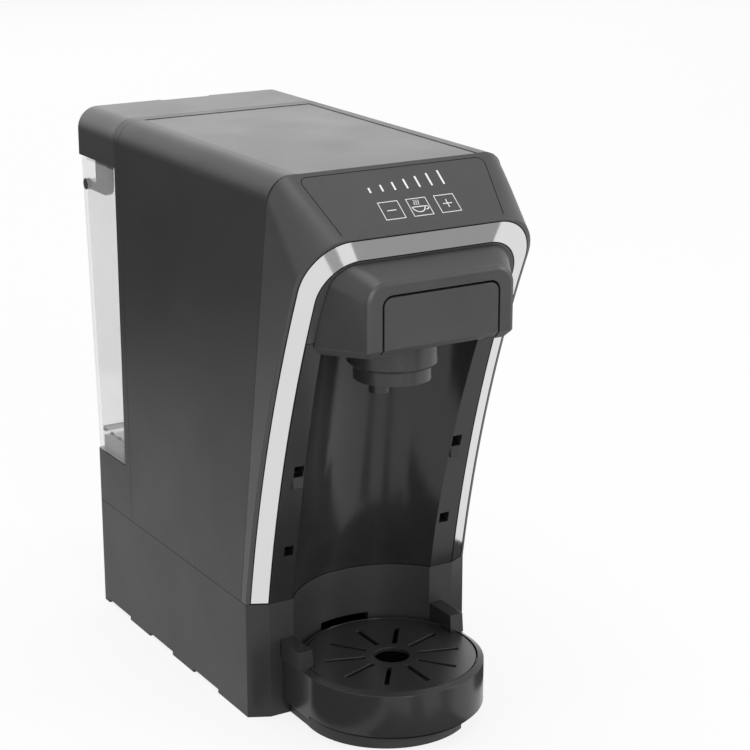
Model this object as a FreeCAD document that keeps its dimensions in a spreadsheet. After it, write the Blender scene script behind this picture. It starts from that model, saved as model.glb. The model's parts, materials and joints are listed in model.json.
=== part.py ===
import FreeCAD, Part
import Sketcher
import math
import os
import re
from FreeCAD import Placement, Rotation, Vector

# Pod coffee machine. +Z is up, -Y is the front, and the origin is the middle of the footprint on the table.
doc = FreeCAD.newDocument("pod_coffee_machine")

# Driving dimensions in millimetres and degrees
SIZES = {
    "width": 130.0,
    "depth": 269.4,
    "height": 285.2,
    "wall": 2.6,
    "seam": 0.25,
    "fit_gap": 0.3,
    "base_height": 61.9,
    "rear_overhang": 9.0,
    "rear_round": 3.0,
    "notch_length": 29.0,
    "notch_depth": 2.0,
    "notch_pitch": 54.8,
    "notch_setback": 128.0,
    "foot_radius": 8.0,
    "foot_inset": 17.0,
    "plate_thick": 2.6,
    "plinth_step": 4.0,
    "plinth_height": 8.0,
    "plinth_tongue": 60.0,
    "plinth_shift": 4.4,
    "plinth_notch": 10.0,
    "lid_length": 46.85,
    "lid_height": 25.6,
    "band_length": 6.65,
    "top_round": 11.5,
    "panel_width": 99.6,
    "panel_thick": 2.0,
    "panel_drop": 1.0,
    "top_wall": 4.6,
    "split_foot": 85.0,
    "top_setback": 48.7,
    "control_angle": 37.5,
    "cheek_round": 22.0,
    "column_setback": 74.8,
    "arch_setback": 10.9,
    "column_radius": 715.0,
    "column_depth": 6.0,
    "arch_fall": 26.1,
    "arch_drop": 10.3,
    "arch_round": 23.0,
    "arch_inner_round": 19.0,
    "trim_inset": 1.8,
    "trim_width": 8.7,
    "trim_bevel": 4.4,
    "trim_thick": 1.6,
    "film_width": 90.0,
    "film_length": 34.0,
    "film_round": 6.0,
    "film_thick": 1.0,
    "film_setback": 4.0,
    "board_thick": 1.6,
    "column_face": 4.0,
    "bay_depth": 95.4,
    "bay_foot_flare": 0.5,
    "bay_head_taper": 4.2,
    "bay_head_depth": 71.4,
    "bay_head_fall": 79.2,
    "ceiling_thick": 1.7,
    "slot_inset": 16.5,
    "slot_width": 5.5,
    "slot_high": 133.0,
    "slot_high_tall": 6.0,
    "slot_low": 88.0,
    "slot_low_tall": 5.5,
    "ledge_tall": 6.0,
    "window_width": 28.6,
    "window_low": 29.5,
    "window_tall": 6.0,
    "head_setback": 1.9,
    "head_half": 40.8,
    "head_foot_fall": 80.0,
    "head_top_fall": 43.2,
    "head_round": 10.0,
    "head_bevel": 4.0,
    "head_edge": 2.5,
    "root_depth": 34.0,
    "root_half_low": 50.0,
    "root_half_high": 60.0,
    "root_foot_fall": 84.0,
    "root_top_fall": 28.2,
    "root_round": 17.0,
    "channel_half": 32.4,
    "channel_fall": 50.2,
    "channel_round": 5.5,
    "groove": 1.2,
    "drawer_thick": 3.0,
    "drawer_travel_room": 0.4,
    "rail_width": 5.2,
    "rail_thick": 2.3,
    "frame_thick": 5.0,
    "frame_length": 89.8,
    "frame_half": 29.5,
    "brew_setback": 45.9,
    "cup_radius": 20.4,
    "cup_wall": 1.8,
    "cup_flange": 25.0,
    "cup_flange_thick": 2.5,
    "cup_depth": 17.0,
    "spout_radius": 22.4,
    "spout_fall": 97.2,
    "spout_wall": 1.6,
    "ring_radius": 19.4,
    "ring_fall": 104.2,
    "ring_wall": 2.4,
    "outlet_width": 10.7,
    "outlet_bore": 6.0,
    "outlet_fall": 115.2,
    "outlet_shift": 12.3,
    "shelf_fall": 47.2,
    "shelf_thick": 2.5,
    "shelf_length": 80.0,
    "piston_radius": 15.0,
    "piston_collar": 20.0,
    "piston_fall": 59.2,
    "collar_thick": 5.0,
    "boiler_shift": 18.8,
    "boiler_radius": 20.0,
    "boiler_height": 24.0,
    "pump_radius": 19.0,
    "pump_length": 72.0,
    "tray_shift": 2.5,
    "tray_gap": 3.1,
    "tray_high": 33.3,
    "rim_fall": 1.6,
    "rim_width": 3.1,
    "tray_wall": 2.4,
    "tray_floor": 2.4,
    "ledge_width": 2.6,
    "hook_inset": 16.5,
    "hook_width": 7.5,
    "hook_setback": 53.9,
    "hook_high": 41.6,
    "hook_lean": 1.0,
    "tongue_length": 5.0,
    "tongue_play": 0.7,
    "grid_thick": 2.1,
    "grid_gap": 0.8,
    "grid_hole": 9.0,
    "star_shift": 1.5,
    "slot_count": 10,
    "slot_near": 14.0,
    "slot_far": 34.7,
    "slot_gap": 2.6,
    "support_height": 30.65,
    "platform_inset": 7.0,
    "platform_height": 8.2,
    "socket_radius": 9.5,
    "socket_depth": 6.0,
    "tank_inset": 0.4,
    "tank_wall": 2.2,
    "tank_floor": 10.2,
    "tank_gap": 1.4,
    "tank_taper": 9.3,
    "tank_round": 3.0,
    "valve_radius": 8.0,
    "valve_bore": 4.0,
    "valve_drop": 6.0,
    "hinge_inset": 6.3,
    "hinge_drop": 15.6,
    "pin_radius": 3.1,
    "pin_play": 0.1,
    "arm_thick": 3.2,
    "arm_rise": 2.0,
    "arm_fall": 3.0,
    "bracket_front": 25.7,
    "bracket_back": 8.7,
    "bracket_round": 6.0,
    "relief_width": 11.4,
    "relief_drop": 12.2,
    "scoop_width": 30.0,
    "scoop_depth": 1.5,
    "scoop_radius": 10.0,
}
dims = doc.addObject("Spreadsheet::Sheet", "dims")
for row, (alias, number) in enumerate(SIZES.items(), start=1):
    dims.set(f"A{row}", alias)
    dims.set(f"B{row}", str(number))
    dims.setAlias(f"B{row}", alias)
doc.recompute()

# Positions that several pieces share, each bound to the driving dimensions
PLACES = {
    "side": "width / 2",
    "arch_top": "height - arch_fall",
    "bay_head_height": "height - bay_head_fall",
    "head_low": "height - head_foot_fall",
    "head_high": "height - head_top_fall",
    "root_low": "height - root_foot_fall",
    "root_high": "height - root_top_fall",
    "channel_high": "height - channel_fall",
    "spout_low": "height - spout_fall",
    "ring_low": "height - ring_fall",
    "outlet_low": "height - outlet_fall",
    "shelf_low": "height - shelf_fall",
    "piston_low": "height - piston_fall",
    "front": "-depth / 2",
    "rear": "depth / 2",
    "base_rear": "depth / 2 - rear_overhang",
    "lid_front": "depth / 2 - lid_length",
    "band_front": "depth / 2 - lid_length - band_length",
    "lid_low": "height - lid_height",
    "shell_low": "base_height + seam",
    "split_low": "-depth / 2 + split_foot",
    "top_front": "-depth / 2 + top_setback",
    "column_foot": "-depth / 2 + column_setback",
    "arch_front": "-depth / 2 + arch_setback",
    "arch_inner": "width / 2 - trim_inset - trim_width",
    "chamfer_depth": "trim_bevel * (trim_inset + trim_width) / trim_width",
    "bay_radius": "arch_inner - column_face",
    "bay_foot_radius": "bay_radius + bay_foot_flare",
    "bay_head_radius": "bay_radius - bay_head_taper",
    "bay_axis": "-depth / 2 + bay_depth - bay_radius",
    "bay_head_axis": "-depth / 2 + bay_head_depth - bay_head_radius",
    "brew_axis": "-depth / 2 + brew_setback",
    "tray_axis": "bay_axis + tray_shift",
    "tray_radius": "bay_radius - tray_gap",
    "plinth_radius": "tray_radius - plinth_step",
    "star_axis": "tray_axis - star_shift",
    "head_front": "-depth / 2 + head_setback",
    "frame_low": "bay_head_height + ceiling_thick + fit_gap",
    "tray_low": "plinth_height + fit_gap",
    "grid_low": "tray_high - grid_gap / 2 - grid_thick",
    "support_high": "base_height + support_height",
    "tank_low": "base_height + support_height + fit_gap",
    "tank_high": "height - lid_height - tank_gap",
    "tank_half": "width / 2 - tank_inset",
    "tank_front": "depth / 2 - lid_length + fit_gap",
    "tank_back": "depth / 2 - tank_inset",
    "valve_axis": "depth / 2 - rear_overhang - (lid_length - rear_overhang) / 2",
    "hinge_axis": "depth / 2 - hinge_inset",
    "hinge_height": "height - lid_height - hinge_drop",
    "arm_out": "width / 2 - wall - fit_gap",
    "chord_run": "arch_setback - column_setback",
    "chord_rise": "arch_top - base_height",
    "chord": "sqrt(chord_run ^ 2 + chord_rise ^ 2)",
    "reach": "sqrt(column_radius ^ 2 - chord ^ 2 / 4)",
    "front_axis": "(column_foot + arch_front) / 2 - reach * chord_rise / chord",
    "front_axis_high": "(base_height + arch_top) / 2 + reach * chord_run / chord",
    "control_foot": "height - top_setback * tan(control_angle)",
    "control_wall": "wall / cos(control_angle)",
    "flange_depth": "chamfer_depth + trim_thick + wall",
    "ledge_front": "front_axis + sqrt(column_radius ^ 2 - (slot_high - front_axis_high) ^ 2)",
    "slot_low_front": "front_axis + sqrt(column_radius ^ 2 - (slot_low - front_axis_high) ^ 2)",
    "shelf_front": "front_axis + sqrt((column_radius + flange_depth + seam) ^ 2"
                   " - (shelf_low - front_axis_high) ^ 2)",
    "plinth_axis": "tray_axis + plinth_shift",
    "ceiling_high": "bay_head_height + ceiling_thick",
    "cup_high": "frame_low + frame_thick",
    "film_low": "film_setback + film_length",
}


def bound(text):
    """Give every size and position named in an expression its owner."""
    def owner(match):
        word = match.group()
        if word in SIZES:
            return "dims." + word
        return "places." + word if word in PLACES else word
    return re.sub(r"[a-z_]+", owner, text)


def bind(item, prop, text):
    item.setExpression(prop, bound(text))


places = doc.addObject("App::VarSet", "places")
for word, text in PLACES.items():
    places.addProperty("App::PropertyFloat", word)
    bind(places, word, text)
doc.recompute()


# Small makers for primitives, booleans and bodies
def located(item, x, y, z):
    for axis, text in zip("xyz", (x, y, z)):
        bind(item, f"Placement.Base.{axis}", text)
    return item


def box(name, corner, size):
    item = doc.addObject("Part::Box", name)
    for prop, text in zip(("Length", "Width", "Height"), size):
        bind(item, prop, text)
    return located(item, *corner)


def cylinder(name, foot, radius, length, along=Vector(0, 0, 1)):
    item = doc.addObject("Part::Cylinder", name)
    bind(item, "Radius", radius)
    bind(item, "Height", length)
    item.Placement = Placement(Vector(), Rotation(Vector(0, 0, 1), along))
    return located(item, *foot)


def fuse(name, *items):
    item = doc.addObject("Part::MultiFuse", name)
    item.Shapes = list(items)
    return item


def cut(name, base, *tools):
    item = doc.addObject("Part::Cut", name)
    item.Base = base
    item.Tool = tools[0] if len(tools) == 1 else fuse(name + "_tools", *tools)
    return item


def common(name, *items):
    item = doc.addObject("Part::MultiCommon", name)
    item.Shapes = list(items)
    return item


def shaped(name, shape):
    item = doc.addObject("Part::Feature", name)
    item.Shape = shape
    item.Placement = Placement()
    return item


def body(name):
    return doc.addObject("PartDesign::Body", name)


def origin(owner, role):
    return next(item for item in owner.Origin.OriginFeatures if item.Role == role)


def sketch(owner, role, offset, *loops):
    """Draw closed outlines on an origin plane: lists of corners, or (x, y, radius) for a circle."""
    item = owner.newObject("Sketcher::SketchObject", owner.Name + "_sketch")
    item.AttachmentSupport = [(origin(owner, role), "")]
    item.MapMode = "FlatFace"
    bind(item, "AttachmentOffset.Base.z", offset)
    for loop in loops:
        if isinstance(loop, tuple):
            draw_circle(item, *loop)
        else:
            draw_polygon(item, loop)
    return item


def hold(item, kind, where, text):
    index = item.addConstraint(Sketcher.Constraint(kind, *where, 1.0))
    bind(item, f"Constraints[{index}]", text)


def draw_circle(item, x, y, radius):
    circle = item.addGeometry(Part.Circle(Vector(), Vector(0, 0, 1), 1.0))
    hold(item, "Radius", (circle,), radius)
    hold(item, "DistanceX", (circle, 3), x)
    hold(item, "DistanceY", (circle, 3), y)


def draw_polygon(item, corners):
    count = len(corners)
    ring = [Vector(math.cos(math.tau * i / count), math.sin(math.tau * i / count), 0) for i in range(count)]
    lines = [item.addGeometry(Part.LineSegment(ring[i], ring[(i + 1) % count])) for i in range(count)]
    for i in range(count):
        item.addConstraint(Sketcher.Constraint("Coincident", lines[i], 2, lines[(i + 1) % count], 1))
    for line, (x, y) in zip(lines, corners):
        hold(item, "DistanceX", (line, 1), x)
        hold(item, "DistanceY", (line, 1), y)


def minus(text):
    return "-(" + text + ")"


def rectangle(left, right, low, high):
    return [(left, low), (right, low), (right, high), (left, high)]


def both_sides(inner, outer, low, high):
    """The same rectangle on the right and on the left."""
    return [rectangle(inner, outer, low, high), rectangle(minus(outer), minus(inner), low, high)]


def solid_step(owner, kind, profile, length, turned=False, both=False):
    item = owner.newObject("PartDesign::" + kind, owner.Name + "_" + kind.lower())
    item.Profile = profile
    bind(item, "Length", length)
    item.Reversed = turned
    item.SideType = "Symmetric" if both else "One side"
    return item


def pad(owner, profile, length, **options):
    return solid_step(owner, "Pad", profile, length, **options)


def pocket(owner, profile, length, **options):
    return solid_step(owner, "Pocket", profile, length, **options)


def revolve(owner, profile):
    item = owner.newObject("PartDesign::Revolution", owner.Name + "_revolution")
    item.Profile = profile
    item.ReferenceAxis = (profile, ["V_Axis"])
    item.Angle = 360
    return item


def soften(owner, kind, prop, size, chosen):
    """Round or bevel the edges of the body so far that the test picks."""
    doc.recompute()
    base = owner.Tip
    names = [f"Edge{i}" for i, edge in enumerate(base.Shape.Edges, start=1) if chosen(edge)]
    item = owner.newObject("PartDesign::" + kind, owner.Name + "_" + kind.lower())
    item.Base = (base, names)
    bind(item, prop, size)
    return item


def rounded(name, base, radius, chosen):
    """Round the edges of a solid that the test picks."""
    doc.recompute()
    item = doc.addObject("Part::Fillet", name)
    item.Base = base
    item.Edges = [(number, radius, radius)
                  for number, edge in enumerate(base.Shape.Edges, start=1) if chosen(edge)]
    return item


TOUCHING = 0.01


def near(a, b):
    return abs(a - b) < TOUCHING


def runs_along(edge, axis):
    step = edge.Vertexes[-1].Point.sub(edge.Vertexes[0].Point)
    return step.Length > TOUCHING and near(abs(step.normalize().dot(axis)), 1.0)


X, Y, Z = Vector(1, 0, 0), Vector(0, 1, 0), Vector(0, 0, 1)


# Base: a ring wall with bevelled front corners, a round bay at the front and notches along the table edge
base = body("base_shell")
corner_y = "column_foot + chamfer_depth"
base_plan = [("-side", "base_rear"), ("-side", corner_y), ("-arch_inner", "column_foot"),
             ("arch_inner", "column_foot"), ("side", corner_y), ("side", "base_rear")]
pad(base, sketch(base, "XY_Plane", "0", base_plan), "base_height")
soften(base, "Fillet", "Radius", "rear_round",
       lambda edge: runs_along(edge, Z) and near(edge.CenterOfMass.y, places.base_rear))
inner_y = "column_foot + chamfer_depth + wall"
inner_plan = [("wall - side", "base_rear - wall"), ("wall - side", inner_y),
              ("-arch_inner", "column_foot + wall"), ("arch_inner", "column_foot + wall"),
              ("side - wall", inner_y), ("side - wall", "base_rear - wall")]
pocket(base, sketch(base, "XY_Plane", "0", inner_plan), "base_height", turned=True)
pad(base, sketch(base, "XY_Plane", "0", ("0", "bay_axis", "bay_radius + wall")), "base_height")
pocket(base, sketch(base, "XY_Plane", "0", ("0", "bay_axis", "bay_radius")), "base_height", turned=True)
ahead_of_columns = rectangle("-side", "side", "bay_axis - 2 * bay_radius", "column_foot")
pocket(base, sketch(base, "XY_Plane", "0", ahead_of_columns), "base_height", turned=True)
notch_y = "front + notch_setback"
notch_outline = rectangle(notch_y + " - notch_length / 2", notch_y + " + notch_length / 2",
                          "0", "notch_depth")
notch = pocket(base, sketch(base, "YZ_Plane", "0", notch_outline), "2 * width", both=True)
doc.recompute()
notches = base.newObject("PartDesign::LinearPattern", "base_notches")
notches.Originals = [notch]
notches.Direction = (origin(base, "Y_Axis"), [""])
bind(notches, "Length", "2 * notch_pitch")
notches.Occurrences = 3
base.Tip = notches
tongue_half = "plinth_tongue / 2 + seam"
bridge_room = rectangle(minus(tongue_half), tongue_half, "bay_axis", "bay_axis + bay_radius + 2 * wall")
pocket(base, sketch(base, "XY_Plane", "0", bridge_room), "notch_depth + plate_thick + seam", turned=True)
slot_in, slot_out = "side - slot_inset - slot_width", "side - slot_inset"
hook_slots = both_sides(slot_in, slot_out, "tray_high", "tray_high + slot_high_tall")
pocket(base, sketch(base, "XZ_Plane", "-column_foot", *hook_slots), "2 * wall")
base_window = rectangle("-window_width / 2", "window_width / 2", "window_low", "window_low + window_tall")
pocket(base, sketch(base, "XZ_Plane", "-bay_axis", base_window), "bay_radius + 2 * wall")

# Bottom plate that closes the base and carries the hollow plinth of the drip tray
plate_long = "base_rear - column_foot - 2 * (wall + seam)"
plate = box("plate_sheet", ("wall + seam - side", "column_foot + wall + seam", "notch_depth"),
            ("2 * (side - wall - seam)", plate_long, "plate_thick"))
corners = [box("plate_corner_" + name, (x, "column_foot", "0"),
               ("side - arch_inner", "chamfer_depth + wall + seam", "base_height"))
           for name, x in (("left", "-side"), ("right", "arch_inner"))]
bay_clear = cylinder("plate_bay", ("0", "bay_axis", "0"), "bay_radius + wall + seam", "base_height")
bridge = box("plinth_bridge", ("-plinth_tongue / 2", "plinth_axis", "notch_depth"),
             ("plinth_tongue", "bay_axis + bay_radius + 3 * wall - plinth_axis", "plate_thick"))
plinth = cylinder("plinth_disc", ("0", "plinth_axis", "0"), "plinth_radius", "plinth_height")
hollow = cylinder("plinth_hollow", ("0", "plinth_axis", "0"),
                  "plinth_radius - wall", "plinth_height - wall")
gap = box("plinth_gap", ("plinth_radius / 2", "plinth_axis - plinth_radius", "0"),
          ("plinth_notch", "plinth_radius / 2", "notch_depth"))
fuse("base_plate", cut("plate_trimmed", plate, bay_clear, *corners),
     cut("plinth_trimmed", fuse("plinth_joined", plinth, bridge), hollow, gap))

# Four pads under the bottom plate
pad_x = "side - foot_inset"
pad_spots = [(x, y) for x in (pad_x, minus(pad_x))
             for y in ("split_low + foot_inset", "base_rear - foot_inset")]
fuse("rubber_feet", *[cylinder(f"foot_{i}", (x, y, "0"), "foot_radius", "notch_depth")
                      for i, (x, y) in enumerate(pad_spots)])

# Side and top cover: an upside-down U with rounded shoulders and a slanted front edge
shell = body("main_shell")
shell_rear = "band_front - seam"
shell_outside = rectangle("-side", "side", "shell_low", "height")
pad(shell, sketch(shell, "XZ_Plane", minus(shell_rear), shell_outside), shell_rear + " - top_front")
soften(shell, "Fillet", "Radius", "top_round",
       lambda edge: runs_along(edge, Y) and near(edge.CenterOfMass.z, dims.height))
shell_inside = rectangle("wall - side", "side - wall", "shell_low", "height - top_wall")
pocket(shell, sketch(shell, "XZ_Plane", minus(shell_rear), shell_inside), "depth", turned=True)
soften(shell, "Fillet", "Radius", "top_round - wall",
       lambda edge: runs_along(edge, Y) and near(edge.CenterOfMass.z, dims.height - dims.top_wall))
ahead_of_split = [("split_low + seam", "shell_low"), ("top_front + seam", "height"),
                  ("front", "height"), ("front", "shell_low")]
pocket(shell, sketch(shell, "YZ_Plane", "0", ahead_of_split), "2 * width", both=True)
panel_seat = rectangle("-panel_width / 2", "panel_width / 2", "front", "rear")
pocket(shell, sketch(shell, "XY_Plane", "height", panel_seat), "panel_drop + panel_thick")

# Sunk panel in the top
box("top_panel", ("seam - panel_width / 2", "top_front + 2 * seam", "height - panel_drop - panel_thick"),
    ("panel_width - 2 * seam", "band_front - top_front - 4 * seam", "panel_thick"))

# Rear band with its bulkhead, and the hollow support block and platform under the water tank
rear = body("rear_frame")
pad(rear, sketch(rear, "XZ_Plane", "-band_front", shell_outside), "band_length", turned=True)
soften(rear, "Fillet", "Radius", "top_round",
       lambda edge: runs_along(edge, Y) and near(edge.CenterOfMass.z, dims.height))
band_inside = rectangle("2 * wall - side", "side - 2 * wall", "shell_low", "height - top_round")
pocket(rear, sketch(rear, "XZ_Plane", "-band_front", band_inside), "band_length - wall")
support = rectangle("-side", "side", "lid_front", "base_rear")
pad(rear, sketch(rear, "XY_Plane", "shell_low", support), "support_high - shell_low")
soften(rear, "Fillet", "Radius", "rear_round",
       lambda edge: runs_along(edge, Z) and near(edge.CenterOfMass.y, places.base_rear))
platform = rectangle("platform_inset - side", "side - platform_inset",
                     "lid_front + platform_inset", "base_rear - platform_inset")
pad(rear, sketch(rear, "XY_Plane", "support_high", platform), "platform_height")
support_room = rectangle("wall - side", "side - wall", "lid_front - wall / 2", "base_rear - wall")
pocket(rear, sketch(rear, "XY_Plane", "shell_low", support_room),
       "support_high - shell_low - wall", turned=True)
socket = ("0", "valve_axis", "socket_radius")
pocket(rear, sketch(rear, "XY_Plane", "support_high + platform_height", socket), "socket_depth")

# Chrome arch round the front: ruled faces from its inner edge to an outer edge that is set back
BEND_STEPS = 6
BEVEL_OVERRUN = 1.1


def front_y(z):
    return places.front_axis + math.sqrt(dims.column_radius ** 2 - (z - places.front_axis_high) ** 2)


def arch_edges(share):
    """Leg, corner, top, corner and leg, from the inner edge (0) to the outer edge (1) and beyond."""
    half = places.arch_inner + dims.trim_width * share
    high = places.arch_top - dims.arch_drop * (1 - share)
    radius = dims.arch_inner_round + (dims.arch_round - dims.arch_inner_round) * share
    spring = high - radius

    def at(x, z):
        return Vector(x, front_y(z) + dims.trim_bevel * share, z)

    middle = (places.shell_low + spring) / 2
    leg = Part.Arc(at(half, places.shell_low), at(half, middle), at(half, spring)).toShape()
    bend = Part.BSplineCurve()
    turns = [math.radians(90 * step / BEND_STEPS) for step in range(BEND_STEPS + 1)]
    bend.interpolate([at(half - radius + radius * math.cos(turn), spring + radius * math.sin(turn))
                      for turn in turns])
    top = Part.makeLine(at(half - radius, high), at(radius - half, high))
    right = [leg, bend.toShape()]
    left = [edge.mirror(Vector(), X) for edge in reversed(right)]
    return right + [top] + left


def arch_solid(share, ahead, behind):
    """Prism in Y of the arch faces from the inner edge out to the given share."""
    slabs = []
    for inner, outer in zip(arch_edges(0), arch_edges(share)):
        face = Part.makeRuledSurface(inner, outer)
        face.translate(Vector(0, -ahead, 0))
        slabs.append(face.extrude(Vector(0, ahead + behind, 0)))
    return slabs[0].multiFuse(slabs[1:]).removeSplitter()


shaped("chrome_trim", arch_solid(1.0, 0.0, dims.trim_thick))
seat = shaped("arch_seat", arch_solid(1.0, dims.width, dims.trim_thick))
past_side = BEVEL_OVERRUN * (dims.trim_width + dims.trim_inset) / dims.trim_width
bevel = shaped("arch_bevel", arch_solid(past_side, dims.width, 0.0))


def front_roll(name, back="0"):
    """Cylinder whose far side is the front surface of the columns, or lies behind it."""
    axis_end = ("-width", "front_axis", "front_axis_high")
    return cylinder(name, axis_end, "column_radius + " + back, "2 * width", X)


# Front fascia: one side profile with cheeks whose rounding grows down the control face
form = body("fascia_form")
side_profile = [("split_low", "shell_low"), ("top_front", "height"),
                ("front", "control_foot"), ("front", "shell_low")]
pad(form, sketch(form, "YZ_Plane", "0", side_profile), "width", both=True)
doc.recompute()
slope = Vector(0, math.cos(math.radians(dims.control_angle)), math.sin(math.radians(dims.control_angle)))
arch_run = places.top_front - front_y(places.arch_top) - dims.trim_bevel
grown = (dims.cheek_round - dims.top_round) * dims.top_setback / arch_run
cheeks = doc.addObject("Part::Fillet", "fascia_cheeks")
cheeks.Base = form
cheek_edges = []
for number, edge in enumerate(form.Shape.Edges, start=1):
    if runs_along(edge, slope):
        radii = [dims.top_round, dims.top_round + grown]
        if edge.Vertexes[0].Point.z < edge.Vertexes[-1].Point.z:
            radii.reverse()
        cheek_edges.append((number, *radii))
cheeks.Edges = cheek_edges

# Touch film and circuit board, laid in the plane of the control face
tilt = Rotation(X, dims.control_angle)


def on_control_face(name, half, near_top, far_down, depth, thick):
    item = doc.addObject("Part::Box", name)
    bind(item, "Length", f"2 * ({half})")
    bind(item, "Width", f"{far_down} - ({near_top})")
    bind(item, "Height", thick)
    item.Placement = Placement(Vector(), tilt)
    lift = f"({depth} + {thick})"
    y = f"top_front - ({far_down}) * cos(control_angle) + {lift} * sin(control_angle)"
    z = f"height - ({far_down}) * sin(control_angle) - {lift} * cos(control_angle)"
    return located(item, minus(half), y, z)


film_sheet = on_control_face("film_sheet", "film_width / 2", "film_setback", "film_low", "0", "film_thick")
face_normal = Vector(0, -slope.z, slope.y)
film = rounded("touch_panel", film_sheet, dims.film_round, lambda edge: runs_along(edge, face_normal))
on_control_face("control_board", "side - cheek_round - 2 * wall", "film_setback", "film_low - flange_depth",
                "wall + seam", "board_thick")

# Hollow of the fascia, its opening for the bay and its window for the drawer
tall = "shelf_low + shelf_thick + wall"
room_box = box("fascia_room_box", ("wall - side", "front", "0"), ("width - 2 * wall", "depth / 2", tall))
room = cut("fascia_room", room_box, front_roll("fascia_room_front", "flange_depth"))
roof = body("fascia_roof")
roof_profile = [("0", "shelf_low"), ("0", "height - wall"), ("top_front", "height - control_wall"),
                ("front", "control_foot - control_wall"), ("front", "shelf_low")]
pad(roof, sketch(roof, "YZ_Plane", "0", roof_profile), "2 * (side - cheek_round - wall)", both=True)
loft_room = cut("fascia_loft", roof, front_roll("fascia_loft_front", "flange_depth"))
relief_box = box("fascia_relief_box", ("wall - arch_inner", "front", "ceiling_high"),
                 ("2 * (arch_inner - wall)", "depth / 2", tall + " - ceiling_high"))
relief = cut("fascia_relief", relief_box, front_roll("fascia_relief_front", "wall"))
opening = box("fascia_opening", ("-arch_inner", "front", "0"),
              ("2 * arch_inner", "depth / 2", "ceiling_high + seam"))
window = box("fascia_window", ("-channel_half - seam", "front", "0"),
             ("2 * (channel_half + seam)", "depth / 2", "channel_high + seam"))
outside = cut("fascia_seat", cheeks, front_roll("fascia_front"), bevel, film)
cut("front_fascia", outside, seat, room, loft_room, relief, opening, window)

# Cup bay: two columns on the front surface joined by a leaning cone frustum, closed by a slotted ceiling
def ring(name, y, z, radius):
    item = doc.addObject("Part::Circle", name)
    bind(item, "Radius", radius)
    return located(item, "0", y, z)


def leaning_cone(name, extra, high):
    item = doc.addObject("Part::Loft", name)
    item.Sections = [ring(name + "_foot", "bay_axis", "shell_low", "bay_foot_radius + " + extra),
                     ring(name + "_head", "bay_head_axis", high, "bay_head_radius + " + extra)]
    item.Solid = True
    item.Ruled = True
    return item


column_half = "arch_inner - seam"
column_box = box("bay_block", (minus(column_half), "front", "shell_low"),
                 (f"2 * ({column_half})", "depth", "ceiling_high - shell_low"))
columns = common("bay_columns", column_box, front_roll("bay_back", "column_depth"))
bay_block = fuse("bay_solid", columns, leaning_cone("bay_outer", "wall", "ceiling_high"))


def column_boxes(name, start, deep, low, tall):
    """The same box in the left and the right column."""
    return [box(f"{name}_{hand}", (x, start, low), ("slot_width", deep, tall))
            for hand, x in (("left", minus(slot_out)), ("right", slot_in))]


throat = box("bay_throat", ("-channel_half", "front", "ceiling_high - rail_thick - seam"),
             ("2 * channel_half", "brew_axis + spout_radius + 2 * fit_gap - front", "2 * rail_thick"))
high_slots = column_boxes("slot_high", "front", "ledge_front + column_depth - front",
                          "slot_high", "slot_high_tall")
low_slots = column_boxes("slot_low", "front", "slot_low_front + column_depth - front",
                         "slot_low", "slot_low_tall")
bay_inner = leaning_cone("bay_inner", "0", "bay_head_height")
bay_open = cut("bay_open", bay_block, front_roll("bay_front"), bay_inner, throat, *high_slots, *low_slots)
ledges = column_boxes("ledge", "ledge_front", "column_depth / 2", "slot_high - ledge_tall", "ledge_tall")
fuse("bay_insert", bay_open, *ledges)

# Brewing head: a loft from the flat face to a wider root, cut to the front surface and channelled
EDGE_TURNS = (0, 45, 90)


def head_outline(y, half_low, half_high, low, high, corner):
    bevel_low = dims.head_bevel
    lean = (half_high - half_low) / (high - low)

    def side(z):
        return half_low + lean * (z - low)

    bow = corner * (1 - math.sqrt(0.5))
    right = [Vector(half_low - bevel_low, y, low), Vector(side(low + bevel_low), y, low + bevel_low),
             Vector(side(high - corner), y, high - corner)]
    over = Vector(half_high - corner, y, high)
    round_over = Vector(half_high - bow, y, high - bow)
    edges = [Part.makeLine(right[0], right[1]), Part.makeLine(right[1], right[2]),
             Part.Arc(right[2], round_over, over).toShape()]
    left = [edge.mirror(Vector(), X) for edge in reversed(edges)]
    top = Part.makeLine(over, Vector(-over.x, y, high))
    floor = Part.makeLine(Vector(-right[0].x, y, low), right[0])
    return Part.Wire(Part.__sortEdges__(edges + [top] + left + [floor]))


head_wires = []
for turn in EDGE_TURNS:
    inset = dims.head_edge * (1 - math.sin(math.radians(turn)))
    back = dims.head_edge * (1 - math.cos(math.radians(turn)))
    half = dims.head_half - inset
    head_wires.append(head_outline(places.head_front + back, half, half, places.head_low,
                                   places.head_high - inset, dims.head_round - inset))
head_wires.append(head_outline(places.head_front + dims.root_depth, dims.root_half_low, dims.root_half_high,
                               places.root_low, places.root_high, dims.root_round))
head_form = shaped("head_form", Part.makeLoft(head_wires, True, True))
head_ahead = common("head_ahead", head_form, front_roll("head_back", "-seam"))
lip = body("head_lip")
lip_corner = [("head_front", "head_low + head_bevel"), ("head_front", "root_low"),
              ("head_front + head_low + head_bevel - root_low", "root_low")]
pad(lip, sketch(lip, "YZ_Plane", "0", lip_corner), "width", both=True)
channel_box = box("channel_box", ("-channel_half", "front", "root_low - wall"),
                  ("2 * channel_half", "depth / 2", "channel_high - root_low + wall"))
channel = rounded("head_channel", channel_box, dims.channel_round,
                  lambda edge: runs_along(edge, Y) and near(edge.CenterOfMass.z, places.channel_high))
cut("head_shell", head_ahead, lip, channel)

# Runners of the capsule drawer
rail_out = "channel_half - seam"
rail_front = "head_front + drawer_thick + drawer_travel_room"
rail_long = f"brew_axis + spout_radius + fit_gap - ({rail_front})"
for hand, x in (("left", minus(rail_out)), ("right", rail_out + " - rail_width")):
    box("drawer_guide_" + hand, (x, rail_front, "ceiling_high - rail_thick"),
        ("rail_width", rail_long, "rail_thick"))

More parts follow.
